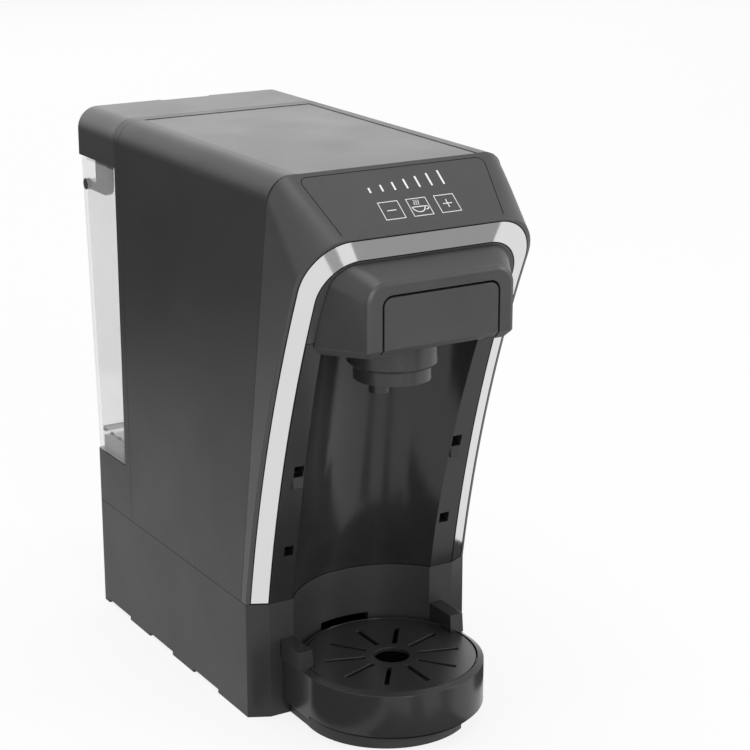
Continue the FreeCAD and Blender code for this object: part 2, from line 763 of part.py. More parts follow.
# Inner shelf with the brewing piston under it and the boiler on it, and the pump on the bottom plate
box("chassis_shelf", ("wall + seam - side", "shelf_front", "shelf_low"),
    ("2 * (side - wall - seam)", "shelf_length", "shelf_thick"))


def turned(name, axis_y, outline):
    """Body of revolution about an upright axis at the given depth."""
    owner = body(name)
    bind(owner, "Placement.Base.y", axis_y)
    revolve(owner, sketch(owner, "XZ_Plane", "0", outline))
    return owner


collar_low = "shelf_low - collar_thick"
turned("brew_head", "brew_axis", [
    ("0", "piston_low"), ("piston_radius", "piston_low"), ("piston_radius", collar_low),
    ("piston_collar", collar_low), ("piston_collar", "shelf_low"), ("0", "shelf_low")])
boiler_low = "shelf_low + shelf_thick"
boiler_high = boiler_low + " + boiler_height"
turned("boiler", "brew_axis + boiler_shift", [
    ("0", boiler_low), ("boiler_radius", boiler_low), ("boiler_radius", boiler_high + " - 2 * wall"),
    ("boiler_radius - 2 * wall", boiler_high), ("0", boiler_high)])
pump_low = "notch_depth + plate_thick"
pump_front = "band_front - wall - pump_length"
pump_barrel = cylinder("pump_barrel", ("0", pump_front, pump_low + " + pump_radius + wall"),
                       "pump_radius", "pump_length", Y)
pump_foot = box("pump_foot", ("-pump_radius / 2", pump_front, pump_low),
                ("pump_radius", "pump_length", "pump_radius"))
fuse("pump", pump_barrel, pump_foot)

# Capsule drawer: front plate with a bevelled foot, frame on the runners, cup and spout
plate_front = body("drawer_front")
face_low = "head_low + head_bevel"
plate_profile = [("head_front", face_low), ("head_front", "channel_high - groove"),
                 ("head_front + drawer_thick", "channel_high - groove"),
                 ("head_front + drawer_thick", face_low + " - drawer_thick")]
pad(plate_front, sketch(plate_front, "YZ_Plane", "0", plate_profile),
    "2 * (channel_half - groove)", both=True)
soften(plate_front, "Fillet", "Radius", "channel_round - groove",
       lambda edge: runs_along(edge, Y) and near(edge.CenterOfMass.z, places.channel_high - dims.groove))

frame = body("drawer_frame")
frame_front = "head_front + drawer_thick"
frame_plan = rectangle("-frame_half", "frame_half", frame_front, frame_front + " + frame_length")
cup_hole = ("0", "brew_axis", "cup_radius + seam")
pad(frame, sketch(frame, "XY_Plane", "frame_low", frame_plan, cup_hole), "frame_thick")

flange_high = "cup_high + cup_flange_thick"
cup_floor = "cup_high - cup_depth"
turned("capsule_cup", "brew_axis", [
    ("cup_radius - cup_wall", flange_high), ("cup_flange", flange_high), ("cup_flange", "cup_high"),
    ("cup_radius", "cup_high"), ("cup_radius", cup_floor), ("outlet_bore / 2", cup_floor),
    ("outlet_bore / 2", cup_floor + " + cup_wall"), ("cup_radius - cup_wall", cup_floor + " + cup_wall")])
spout_inner, ring_inner = "spout_radius - spout_wall", "ring_radius - ring_wall"
spout_floor, ring_floor = "spout_low + spout_wall", "ring_low + ring_wall"
turned("spout_body", "brew_axis", [
    (spout_inner, "frame_low"), ("spout_radius", "frame_low"), ("spout_radius", spout_floor),
    (spout_inner, "spout_low"), (ring_inner, "spout_low"), (ring_inner, spout_floor),
    (spout_inner, spout_floor)])
nozzle = turned("spout_ring", "brew_axis", [
    ("0", "ring_low"), ("ring_radius", "ring_low"), ("ring_radius", "spout_low"),
    (ring_inner, "spout_low"), (ring_inner, ring_floor), ("0", ring_floor)])
outlet_hole = ("0", "outlet_shift", "outlet_bore / 2")
pocket(nozzle, sketch(nozzle, "XY_Plane", "ring_low", outlet_hole), "2 * ring_wall", turned=True)
outlet = body("spout_outlet")
outlet_axis = "brew_axis + outlet_shift"
pad(outlet, sketch(outlet, "XY_Plane", "outlet_low", ("0", outlet_axis, "outlet_width / 2"),
                   ("0", outlet_axis, "outlet_bore / 2")), "ring_low - outlet_low")

# Drip tray: a turned bowl with a ledge for the grid, and two hooks with tongues for the column slots
tray = turned("drip_tray", "tray_axis", [
    ("0", "tray_low"), ("tray_radius - rim_fall", "tray_low"), ("tray_radius", "tray_low + rim_fall"),
    ("tray_radius", "tray_high - rim_fall"), ("tray_radius - rim_width", "tray_high"),
    ("tray_radius - rim_width", "grid_low - fit_gap"),
    ("tray_radius - rim_width - ledge_width", "grid_low - fit_gap"),
    ("tray_radius - tray_wall", "grid_low - fit_gap - 2 * ledge_width"),
    ("tray_radius - tray_wall", "tray_low + tray_floor"), ("0", "tray_low + tray_floor")])
hook_in = "side - hook_inset - hook_width"
hook_front = "front + hook_setback - tray_axis"
hook_back = "column_foot - fit_gap - tray_axis"
hook_outline = [(hook_front, "tray_high - rim_fall"), (hook_front + " + hook_lean", "hook_high"),
                (hook_back, "hook_high"), (hook_back, "tray_high - rim_fall")]
hook = pad(tray, sketch(tray, "YZ_Plane", hook_in, hook_outline), "hook_width")
tongue_outline = rectangle(hook_back, hook_back + " + tongue_length",
                           "tray_high + tongue_play", "tray_high + slot_high_tall - tongue_play")
tongue = pad(tray, sketch(tray, "YZ_Plane", slot_in + " + tongue_play", tongue_outline),
             "slot_width - 2 * tongue_play")
doc.recompute()
both_hooks = tray.newObject("PartDesign::Mirrored", "tray_hooks")
both_hooks.Originals = [hook, tongue]
both_hooks.MirrorPlane = (origin(tray, "YZ_Plane"), [""])
tray.Tip = both_hooks

# Drip grid: a disc with a centre hole, a ring of radial slots and room for the hooks
grid = body("drip_grid")
bind(grid, "Placement.Base.y", "star_axis")
grid_edge = ("0", "star_shift", "tray_radius - rim_width - grid_gap")
pad(grid, sketch(grid, "XY_Plane", "grid_low", grid_edge, ("0", "0", "grid_hole")), "grid_thick")
room_y = "front + hook_setback - star_axis - grid_gap"
room_x = hook_in + " - grid_gap"
hook_rooms = both_sides(room_x, "width", room_y, "depth")
pocket(grid, sketch(grid, "XY_Plane", "grid_low", *hook_rooms), "grid_thick", turned=True)
ray_outline = rectangle("-slot_gap / 2", "slot_gap / 2", "slot_near", "slot_far")
ray = pocket(grid, sketch(grid, "XY_Plane", "grid_low", ray_outline), "grid_thick", turned=True)
doc.recompute()
rays = grid.newObject("PartDesign::PolarPattern", "grid_rays")
rays.Originals = [ray]
rays.Axis = (origin(grid, "Z_Axis"), [""])
rays.Angle = 360
bind(rays, "Occurrences", "slot_count")
grid.Tip = rays

# Water tank: a clear wedge with a floor raised over a skirt, pin holes and reliefs for the lid's arms
tank = body("water_tank")
back_low = "tank_back - tank_taper"
rise = "(tank_high - tank_low)"
wedge = [("tank_front", "tank_low"), (back_low, "tank_low"),
         ("tank_back", "tank_high"), ("tank_front", "tank_high")]
pad(tank, sketch(tank, "YZ_Plane", "0", wedge), "2 * tank_half", both=True)
soften(tank, "Fillet", "Radius", "tank_round",
       lambda edge: near(edge.BoundBox.XLength, 0) and edge.BoundBox.ZLength > dims.lid_height)
floor_back = back_low + " - tank_wall + tank_taper * tank_floor / " + rise
over_back = back_low + " - tank_wall + tank_taper * (tank_floor + tank_wall) / " + rise
inner_half, inner_front = "tank_half - tank_wall", "tank_front + tank_wall"
floor_low = "tank_low + tank_floor"
floor_high = floor_low + " + tank_wall"
under_floor = [(inner_front, "tank_low"), (back_low + " - tank_wall", "tank_low"),
               (floor_back, floor_low), (inner_front, floor_low)]
over_floor = [(inner_front, floor_high), (over_back, floor_high),
              ("tank_back - tank_wall", "tank_high"), (inner_front, "tank_high")]
for hollow_profile in (under_floor, over_floor):
    pocket(tank, sketch(tank, "YZ_Plane", "0", hollow_profile), f"2 * ({inner_half})", both=True)
pin_hole = ("hinge_axis", "hinge_height", "pin_radius + pin_play")
pocket(tank, sketch(tank, "YZ_Plane", "0", pin_hole), "2 * width", both=True)
valve_hole = ("0", "valve_axis", "valve_bore + seam")
pocket(tank, sketch(tank, "XY_Plane", "tank_low", valve_hole), "tank_floor + 2 * tank_wall", turned=True)
arm_reliefs = both_sides(inner_half + " - relief_width", inner_half, "tank_high - relief_drop", "height")
pocket(tank, sketch(tank, "XZ_Plane", "-rear", *arm_reliefs), "lid_length / 4", turned=True)
plug_low, plug_high = floor_low + " - valve_drop", floor_high + " + tank_wall"
turned("tank_valve", "valve_axis", [
    ("0", plug_low), ("valve_radius", plug_low), ("valve_radius", floor_low), ("valve_bore", floor_low),
    ("valve_bore", plug_high), ("0", plug_high)])

# Tank lid: a rounded cap, hollow from below, with a finger scoop in its rear top edge
lid = body("tank_lid")
pad(lid, sketch(lid, "XZ_Plane", "-(lid_front + seam)", rectangle("-side", "side", "lid_low", "height")),
    "lid_length - seam", turned=True)
soften(lid, "Fillet", "Radius", "top_round",
       lambda edge: runs_along(edge, Y) and near(edge.CenterOfMass.z, dims.height))
shoulder = "height - top_round"
lid_room = [("wall - side", "lid_low"), ("wall - side", shoulder), ("top_round - side", "height - wall"),
            ("side - top_round", "height - wall"), ("side - wall", shoulder), ("side - wall", "lid_low")]
pocket(lid, sketch(lid, "XZ_Plane", "-(lid_front + seam + wall)", lid_room), "lid_length - seam - 2 * wall")
scoop_out = "(scoop_radius - scoop_depth) / sqrt(2)"
pocket(lid, sketch(lid, "YZ_Plane", "0", ("rear + " + scoop_out, "height + " + scoop_out, "scoop_radius")),
       "scoop_width", both=True)

# Hinge arms inside the lid: a bracket with a rounded toe, an arm and a pin in the wall of the tank
bracket = [("hinge_axis - bracket_front", "height - top_round - seam"),
           ("hinge_axis - bracket_front", "hinge_height - arm_fall"),
           ("hinge_axis + arm_rise", "hinge_height - arm_fall"),
           ("hinge_axis + arm_rise", "hinge_height + arm_rise"),
           ("hinge_axis - bracket_back", "hinge_height + arm_rise"),
           ("hinge_axis - bracket_back", "height - top_round - seam")]
for hand, mirror_side in (("left", True), ("right", False)):
    arm = body("lid_hinge_" + hand)
    sign = "-" if mirror_side else ""
    pad(arm, sketch(arm, "YZ_Plane", sign + "(arm_out - arm_thick)", bracket),
        "arm_thick", turned=mirror_side)
    soften(arm, "Fillet", "Radius", "bracket_round",
           lambda edge: runs_along(edge, X)
           and near(edge.CenterOfMass.y, places.hinge_axis - dims.bracket_front)
           and near(edge.CenterOfMass.z, places.hinge_height - dims.arm_fall))
    pad(arm, sketch(arm, "YZ_Plane", sign + "arm_out", ("hinge_axis", "hinge_height", "pin_radius")),
        "tank_half - arm_out", turned=mirror_side)

# Every piece is tested, then written under its own name
NODES = ["base_shell", "base_plate", "rubber_feet", "main_shell", "top_panel", "rear_frame", "front_fascia",
         "bay_insert", "chrome_trim", "touch_panel", "control_board", "head_shell",
         "drawer_guide_left", "drawer_guide_right", "chassis_shelf", "brew_head", "boiler", "pump",
         "drawer_front", "drawer_frame", "capsule_cup", "spout_body", "spout_ring", "spout_outlet",
         "drip_tray", "drip_grid", "water_tank", "tank_valve",
         "tank_lid", "lid_hinge_left", "lid_hinge_right"]
doc.recompute()
for item in doc.Objects:
    if "Invalid" in item.State or "Error" in item.State:
        raise RuntimeError(f"{item.Name} did not compute")
os.makedirs("parts", exist_ok=True)
for node in NODES:
    item = doc.getObject(node)
    item.Label = node
    if item.Shape.isNull() or not item.Shape.isValid() or not item.Shape.Solids:
        raise RuntimeError(f"{node} is not a sound solid")
for node in NODES:
    shape = doc.getObject(node).Shape
    shape.exportStep(f"parts/{node}.step")
    reach = shape.BoundBox
    print(f"{node}: {len(shape.Solids)} solid(s), {shape.Volume / 1000:.1f} cm3, "
          f"{reach.XLength:.1f} x {reach.YLength:.1f} x {reach.ZLength:.1f} mm")
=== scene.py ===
# %% [markdown]
# # The looks of a pod coffee machine
# The solids of the machine were drawn in CAD and are loaded here as a fixed frame. This lesson gives
# every solid a finish, prints the signs on the touch film, adds thin lines and small pieces, and sets
# up the table, the lamps and the camera.

# %% Load the solids
import json
import math

import bmesh
import bpy
from mathutils import Matrix, Vector


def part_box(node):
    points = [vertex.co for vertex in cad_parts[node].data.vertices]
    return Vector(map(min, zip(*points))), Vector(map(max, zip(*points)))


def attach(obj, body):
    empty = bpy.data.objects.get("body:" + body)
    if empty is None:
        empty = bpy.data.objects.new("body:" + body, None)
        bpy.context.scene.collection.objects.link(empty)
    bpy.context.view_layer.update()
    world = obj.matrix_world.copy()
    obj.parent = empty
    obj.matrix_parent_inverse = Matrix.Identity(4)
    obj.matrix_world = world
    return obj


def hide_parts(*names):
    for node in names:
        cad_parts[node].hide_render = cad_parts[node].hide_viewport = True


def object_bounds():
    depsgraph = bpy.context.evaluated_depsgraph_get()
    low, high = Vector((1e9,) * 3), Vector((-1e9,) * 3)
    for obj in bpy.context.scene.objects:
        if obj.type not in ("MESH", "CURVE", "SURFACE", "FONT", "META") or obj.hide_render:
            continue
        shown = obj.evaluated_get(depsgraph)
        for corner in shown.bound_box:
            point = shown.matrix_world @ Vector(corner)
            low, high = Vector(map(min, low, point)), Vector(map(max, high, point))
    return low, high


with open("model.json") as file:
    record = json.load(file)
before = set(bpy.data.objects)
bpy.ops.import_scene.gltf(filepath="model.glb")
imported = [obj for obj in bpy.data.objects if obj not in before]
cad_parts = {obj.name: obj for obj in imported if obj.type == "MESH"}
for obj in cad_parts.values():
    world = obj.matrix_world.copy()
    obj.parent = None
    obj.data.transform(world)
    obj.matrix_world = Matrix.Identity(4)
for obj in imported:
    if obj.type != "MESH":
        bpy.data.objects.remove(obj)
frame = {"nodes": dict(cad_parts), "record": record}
solid_low, solid_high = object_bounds()
MM = 0.001


def in_mm(vector, digits=1):
    return [round(value / MM, digits) for value in vector]


print("solids loaded:", len(frame["nodes"]), "size in mm:", in_mm(solid_high - solid_low))

# %% [markdown]
# ## The camera
# The photograph was taken from the front left and a little above. Its vertical edges lean, so the
# camera stands about a metre away and looks down. A plain lens with no shift gives the same lean.

# %% Set the camera
CAMERA_PLACE = Vector((-0.50104, -0.90731, 0.47529))
CAMERA_DOWN = 17.032
CAMERA_TURN = -30.963
CAMERA_LENS = 99.13
CAMERA_SENSOR = 36.0
CAMERA_NEAR = 10 * MM

camera_data = bpy.data.cameras.new("camera")
camera_data.lens = CAMERA_LENS
camera_data.sensor_width = CAMERA_SENSOR
camera_data.clip_start = CAMERA_NEAR
camera = bpy.data.objects.new("camera", camera_data)
camera.location = CAMERA_PLACE
camera.rotation_euler = (math.radians(90 - CAMERA_DOWN), 0, math.radians(CAMERA_TURN))
bpy.context.scene.collection.objects.link(camera)
bpy.context.scene.camera = camera
bpy.context.scene.view_settings.view_transform = "Standard"
print("camera at", [round(v, 3) for v in camera.location], "lens", camera_data.lens)

# %% [markdown]
# ## Writing finishes as sums
# A finish is a small net of shader nodes. Wiring it by hand takes many lines, so one class wraps the
# output of a node: sums on it add Math nodes, and its `node` method adds any other node. A Mix node
# has sockets for several kinds of value, and those for colours are picked by their numbers.

# %% A node's output that can be reckoned with
MIX_SHARE, MIX_FIRST, MIX_SECOND, MIX_COLOUR = 0, 6, 7, 2


class Net:
    def __init__(self, tree, socket=None):
        self.tree = tree
        self.socket = socket

    def node(self, kind, settings=None, sockets=None, output=0):
        made = self.tree.nodes.new(kind)
        for name, setting in (settings or {}).items():
            setattr(made, name, setting)
        for name, value in (sockets or {}).items():
            if isinstance(value, Net):
                self.tree.links.new(value.socket, made.inputs[name])
            else:
                made.inputs[name].default_value = value
        return Net(self.tree, made.outputs[output] if made.outputs else None)

    def sum(self, operation, first, second):
        return self.node("ShaderNodeMath", {"operation": operation}, {0: first, 1: second})

    def __add__(self, other):
        return self.sum("ADD", self, other)

    def __radd__(self, other):
        return self.sum("ADD", other, self)

    def __sub__(self, other):
        return self.sum("SUBTRACT", self, other)

    def __rsub__(self, other):
        return self.sum("SUBTRACT", other, self)

    def __mul__(self, other):
        return self.sum("MULTIPLY", self, other)

    def __rmul__(self, other):
        return self.sum("MULTIPLY", other, self)

    def mix(self, share, first, second):
        sockets = {MIX_SHARE: share, MIX_FIRST: first, MIX_SECOND: second}
        return self.node("ShaderNodeMix", {"data_type": "RGBA"}, sockets, MIX_COLOUR)


def grey(level):
    return (level, level, level, 1.0)


print("shader sums ready")

# %% [markdown]
# ## Starting a finish
# Every finish starts as an empty net and ends in one surface. No real surface is even, so noise varies
# its colour, gloss and height. A picture could do that too, but noise on Object coordinates needs no
# unwrapping and has the same size in millimetres on every piece.

# %% A new finish, its surface, noise and bump
NOISE_MIDDLE = 0.5
finishes = {}


def new_finish(name):
    material = bpy.data.materials.new(name)
    material.use_nodes = True
    material.node_tree.nodes.clear()
    finishes[name] = material
    return Net(material.node_tree)


def show(net, surface):
    net.node("ShaderNodeOutputMaterial", {}, {"Surface": surface})


def surface_of(net, **looks):
    sockets = {}
    for name, value in looks.items():
        sockets[name.replace("_", " ").title().replace("Ior", "IOR")] = value
    return net.node("ShaderNodeBsdfPrincipled", {}, sockets, "BSDF")


def clouds(net, size, detail=3.0, stretch=(1.0, 1.0, 1.0)):
    place = net.node("ShaderNodeTexCoord", output="Object")
    scaled = net.node("ShaderNodeMapping", {}, {"Vector": place, "Scale": stretch})
    return net.node("ShaderNodeTexNoise", {}, {"Vector": scaled, "Scale": 1 / size, "Detail": detail})


def bump(net, height, depth, strength, **base):
    sockets = {"Height": height, "Distance": depth, "Strength": strength, **base}
    return net.node("ShaderNodeBump", {}, sockets)


print("finish helpers ready")

# %% [markdown]
# ## Satin black plastic
# Most of the machine is moulded black plastic with a fine spark-eroded grain. Three things make it
# look moulded and not painted: the grain as a small bump, a slow change of gloss where hands have
# touched it, and edges that are rounded and a little polished. A Bevel node rounds the shading of the
# edges without a change to the solid, and comparing it with the true normal finds the edges. There the
# colour is also made paler, partly as wear and partly as a painted highlight.

# %% Satin plastic
EDGE_ROUND = 0.5 * MM
EDGE_SAMPLES = 6
EDGE_SHINE = 0.2
HAND_MARK_SIZE = 45 * MM
HAND_MARK_SHARE = 0.6
HAND_MARK_GLOSS = 0.16
FLOW_SIZE = 9 * MM
FLOW_SHARE = 0.4
# The last of these makes the edges paler: partly wear, partly a painted highlight
DARK_SHADE, PALE_SHADE, EDGE_WEAR_AND_HIGHLIGHT_SHADE = 0.82, 1.25, 2.4
GRAIN_STRENGTH = 0.6


def satin_plastic(name, colour, roughness, gloss, grain=0.35 * MM, depth=0.010 * MM, edge_wear_and_highlight=0.7):
    net = new_finish(name)
    grain_height = clouds(net, grain, 2.0)
    hand_marks = clouds(net, HAND_MARK_SIZE, 4.0)
    flow = clouds(net, FLOW_SIZE, 2.0)
    rounded = net.node("ShaderNodeBevel", {"samples": EDGE_SAMPLES}, {"Radius": EDGE_ROUND})
    flat = net.node("ShaderNodeNewGeometry", output="Normal")
    alike = net.node("ShaderNodeVectorMath", {"operation": "DOT_PRODUCT"}, {0: rounded, 1: flat}, "Value")
    edge = edge_wear_and_highlight * (1 - alike)
    cloudy = HAND_MARK_SHARE * hand_marks + FLOW_SHARE * flow
    moulded = net.mix(cloudy, grey(colour * DARK_SHADE), grey(colour * PALE_SHADE))
    handled = HAND_MARK_GLOSS * (hand_marks - NOISE_MIDDLE)
    # the edges get a paler colour here: partly wear, partly a painted highlight
    show(net, surface_of(net, base_color=net.mix(edge, moulded, grey(colour * EDGE_WEAR_AND_HIGHLIGHT_SHADE)),
                         roughness=roughness + handled - EDGE_SHINE * edge,
                         normal=bump(net, grain_height, depth, GRAIN_STRENGTH, Normal=rounded),
                         specular_ior_level=gloss))


# Each black's colour was set so that its part matches how bright it looks, so part of the difference
# between them is painted light: lit parts such as the top sheet get paler colours than the side covers. The
# rest is the plastics' own tone.
PLASTICS = {
    "satin_black": dict(colour=0.024, roughness=0.42, gloss=0.32),
    "top_black": dict(colour=0.040, roughness=0.40, gloss=0.40),
    "front_black": dict(colour=0.044, roughness=0.38, gloss=0.40, edge_wear_and_highlight=0.2),
    "head_black": dict(colour=0.043, roughness=0.34, gloss=0.36),
    "lid_black": dict(colour=0.030, roughness=0.40, gloss=0.48),
    "bay_black": dict(colour=0.018, roughness=0.15, gloss=0.40),
    "tray_black": dict(colour=0.026, roughness=0.20, gloss=0.30, edge_wear_and_highlight=1.0),
    "grid_black": dict(colour=0.022, roughness=0.30, gloss=0.40),
    "spout_black": dict(colour=0.026, roughness=0.24, gloss=0.45),
    "dark_plastic": dict(colour=0.024, roughness=0.50, gloss=0.40),
    "hinge_grey": dict(colour=0.040, roughness=0.35, gloss=0.50),
    "touch_film": dict(colour=0.044, roughness=0.38, gloss=0.40,
                       grain=0.25 * MM, depth=0.004 * MM, edge_wear_and_highlight=0.0),
    "foot_rubber": dict(colour=0.020, roughness=0.75, gloss=0.30,
                        grain=0.5 * MM, depth=0.03 * MM, edge_wear_and_highlight=0.2),
}
for plastic, look in PLASTICS.items():
    satin_plastic(plastic, **look)
print("satin plastics:", len(finishes))

# %% [markdown]
# ## The bright arch
# The arch is plated plastic. Plating is a mirror with a slight haze that follows the polishing, so
# the metal is smooth with long faint streaks in its roughness. The same finish with more haze and
# streaks the other way is the brushed steel of the boiler and the pump.

# %% Plating and brushed steel
STREAK_SIZE = 4 * MM
STREAK_HAZE = 0.08
STREAK_STRENGTH = 0.25
BREATH_SIZE = 60 * MM
BREATH_HAZE = 0.05
BREATH_SHADE = 0.94


def plated(name, level, roughness, depth, stretch):
    net = new_finish(name)
    streaks = clouds(net, STREAK_SIZE, 4.0, stretch)
    breath = clouds(net, BREATH_SIZE, 3.0)
    haze = STREAK_HAZE * (streaks - NOISE_MIDDLE) + BREATH_HAZE * (breath - NOISE_MIDDLE)
    show(net, surface_of(net, base_color=net.mix(breath, grey(level * BREATH_SHADE), grey(level)),
                         metallic=1.0, roughness=roughness + haze,
                         normal=bump(net, streaks, depth, STREAK_STRENGTH)))


plated("chrome", level=0.72, roughness=0.08, depth=0.004 * MM, stretch=(1.0, 1.0, 0.15))
plated("inner_steel", level=0.55, roughness=0.34, depth=0.02 * MM, stretch=(1.0, 1.0, 12.0))
print("metals ready")

# %% [markdown]
# ## The clear tank
# The tank is clear plastic about two millimetres thick. Real refraction through so many thin walls
# is slow and grainy, so the wall is mostly see-through, and where it is seen at a slant it turns to a
# pale opaque grey, a painted reflection that stands in for the gloss such walls show.

# %% Clear plastic
WALL_VEIL = 0.13
SLANT_PAINTED_REFLECTION = 0.6
SLANT_BLEND = 0.30
WAVE_SIZE = 18 * MM
WAVE_DEPTH = 0.05 * MM
WAVE_STRENGTH = 0.2
WALL_DIM, WALL_PALE = 0.68, 0.76
WALL_ROUGHNESS = 0.05


def clear_plastic(name):
    net = new_finish(name)
    slant = net.node("ShaderNodeLayerWeight", {}, {"Blend": SLANT_BLEND}, "Facing")
    waves = clouds(net, WAVE_SIZE, 2.0, (1.0, 1.0, 0.4))
    # painted reflection: the pale wall colour turns opaque where the wall is seen at a slant
    show(net, surface_of(net, base_color=net.mix(waves, grey(WALL_DIM), grey(WALL_PALE)),
                         roughness=WALL_ROUGHNESS + WALL_ROUGHNESS * waves,
                         alpha=WALL_VEIL + SLANT_PAINTED_REFLECTION * slant * slant,
                         normal=bump(net, waves, WAVE_DEPTH, WAVE_STRENGTH)))


clear_plastic("clear_tank")
print("clear plastic ready")

# %% [markdown]
# ## The circuit board
# The board lies hidden under the film. Its green lacquer is paler over the copper tracks, and the
# borders between the cells of a Voronoi texture make a net of such thin tracks without any drawing.

# %% Board lacquer
LACQUER = (0.02, 0.16, 0.07, 1.0)
LACQUERED_TRACK = (0.05, 0.30, 0.12, 1.0)
CELLS_IN_A_METRE = 260.0
TRACK_SHARE = 0.08
TRACK_DEPTH = 0.05 * MM
TRACK_STRENGTH = 0.4
LACQUER_ROUGHNESS = 0.35
LACQUER_HAZE = 0.1
LACQUER_CLOUD = 6 * MM


def board_lacquer(name):
    net = new_finish(name)
    place = net.node("ShaderNodeTexCoord", output="Object")
    border = net.node("ShaderNodeTexVoronoi", {"feature": "DISTANCE_TO_EDGE"},
                      {"Vector": place, "Scale": CELLS_IN_A_METRE})
    track = net.sum("LESS_THAN", border, TRACK_SHARE)
    show(net, surface_of(net, base_color=net.mix(track, LACQUER, LACQUERED_TRACK),
                         roughness=LACQUER_ROUGHNESS + LACQUER_HAZE * clouds(net, LACQUER_CLOUD),
                         normal=bump(net, track, TRACK_DEPTH, TRACK_STRENGTH)))


board_lacquer("board_green")
print("board lacquer ready")

# %% [markdown]
# ## Dressing the solids
# The record names one material slot for each solid. Each solid gets the finish of the same name.

# %% Put the finishes on the solids
slot_of = {row["node"]: row["material_slot"] for row in frame["record"]["subparts"]}
for node_name, solid in frame["nodes"].items():
    solid.data.materials.clear()
    solid.data.materials.append(finishes[slot_of[node_name]])
print("dressed solids:", len(slot_of))

# %% [markdown]
# ## Ink and dark grooves
# The film carries seven level bars, three square keys and their signs in pale ink, which is slightly
# mottled. The thin gaps between the pieces of the housing are so deep that hardly any light comes back
# out of them. The same finish does for them, near black and with almost no gloss.

# %% Pale ink and groove black
MOTTLE_SIZE = 0.6 * MM
MOTTLE_SHADE = 0.93
MOTTLE_HAZE = 0.1
MOTTLE_DEPTH = 0.01 * MM
MOTTLE_STRENGTH = 0.3


def ink(name, level, roughness, gloss=0.5):
    net = new_finish(name)
    mottle = clouds(net, MOTTLE_SIZE, 2.0)
    show(net, surface_of(net, base_color=net.mix(mottle, grey(level * MOTTLE_SHADE), grey(level)),
                         roughness=roughness + MOTTLE_HAZE * mottle,
                         normal=bump(net, mottle, MOTTLE_DEPTH, MOTTLE_STRENGTH),
                         specular_ior_level=gloss))


ink("pale_ink", level=0.74, roughness=0.40)
ink("groove_black", level=0.004, roughness=0.80, gloss=0.08)
print("inks ready")

# %% [markdown]
# ## Where the film lies
# Signs are easiest to draw flat, as on paper. One matrix then carries the paper to the sloped control
# face, with its origin in the middle of the face's upper edge. The box of the film gives the place, so
# the ink follows the film.

# %% From paper to the control face
FILM_SLOPE = math.radians(37.5)
FILM_LENGTH = 34 * MM
FILM_SETBACK = 4 * MM
film_low, film_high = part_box("touch_panel")
slope_side = Vector((1, 0, 0))
slope_up = Vector((0, math.cos(FILM_SLOPE), math.sin(FILM_SLOPE)))
slope_out = Vector((0, -math.sin(FILM_SLOPE), math.cos(FILM_SLOPE)))
film_top = Vector((0, film_low.y + FILM_LENGTH * math.cos(FILM_SLOPE), film_high.z))
edge_top = film_top + FILM_SETBACK * slope_up
face_turn = Matrix((slope_side, slope_up, slope_out)).transposed().to_4x4()
on_film = Matrix.Translation(edge_top) @ face_turn
print("film's upper edge at", in_mm(film_top, 2))

# %% [markdown]
# ## From a flat sign to a piece
# A sign is a few flat faces. Extruding them gives the ink its thickness, and it is sunk a little into
# the film, so that no gap shows under it. Each finished piece is told which body of the machine it
# rides on.

# %% Pieces and their thickness
INK_SUNK = 0.03 * MM
INK_PROUD = 0.05 * MM


def mesh_object(bm, name, finish):
    mesh = bpy.data.meshes.new(name)
    bm.to_mesh(mesh)
    bm.free()
    mesh.materials.append(finishes[finish])
    made = bpy.data.objects.new(name, mesh)
    bpy.context.scene.collection.objects.link(made)
    return made


def finish_piece(bm, name, body, finish):
    piece = mesh_object(bm, name, finish)
    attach(piece, body)
    print(name, "faces:", len(piece.data.polygons))
    return piece


def new_verts(made):
    return [item for item in made["geom"] if isinstance(item, bmesh.types.BMVert)]


def pull_faces(bm, way):
    far_end = new_verts(bmesh.ops.extrude_face_region(bm, geom=bm.faces[:]))
    bmesh.ops.translate(bm, verts=far_end, vec=way)
    bmesh.ops.recalc_face_normals(bm, faces=bm.faces[:])


def lay_on_film(bm, name, finish, proud=INK_PROUD):
    pull_faces(bm, (0, 0, proud + INK_SUNK))
    bmesh.ops.translate(bm, verts=bm.verts[:], vec=(0, 0, -INK_SUNK))
    bmesh.ops.transform(bm, matrix=on_film, verts=bm.verts[:])
    finish_piece(bm, name, "machine", finish)


print("ink stands", in_mm([INK_PROUD], 2), "mm proud of the film")

# %% [markdown]
# ## Level bars
# Seven upright bars show the chosen level. Each is a square that is stretched to a block, a step taller
# than the last.

# %% Seven level bars
BAR_COUNT = 7
BAR_FOOT = 16.35 * MM
BAR_WIDE = 1.0 * MM
BAR_FIRST = -18.3 * MM
BAR_STEP = 6.76 * MM
BAR_SHORT = 3.1 * MM
BAR_GROWTH = 0.94 * MM


def unit_square(bm, place, rows=1):
    return bmesh.ops.create_grid(bm, x_segments=1, y_segments=rows, size=0.5, matrix=place)["verts"]


def flat_block(bm, x, down, wide, tall):
    return unit_square(bm, Matrix.Translation((x, -down, 0)) @ Matrix.Diagonal((wide, tall, 1, 1)))


bars = bmesh.new()
for number in range(BAR_COUNT):
    bar_tall = BAR_SHORT + BAR_GROWTH * number
    flat_block(bars, BAR_FIRST + BAR_STEP * number, BAR_FOOT - bar_tall / 2, BAR_WIDE, bar_tall)
lay_on_film(bars, "level_bars", "pale_ink")

# %% [markdown]
# ## Keys
# Each key is a square drawn with a thin line. Four strokes could make it, but an inset of one square
# gives clean corners. The minus and plus are plain strokes, and the plus has two short stubs beside
# its long one, because faces that overlap in one plane would flicker.

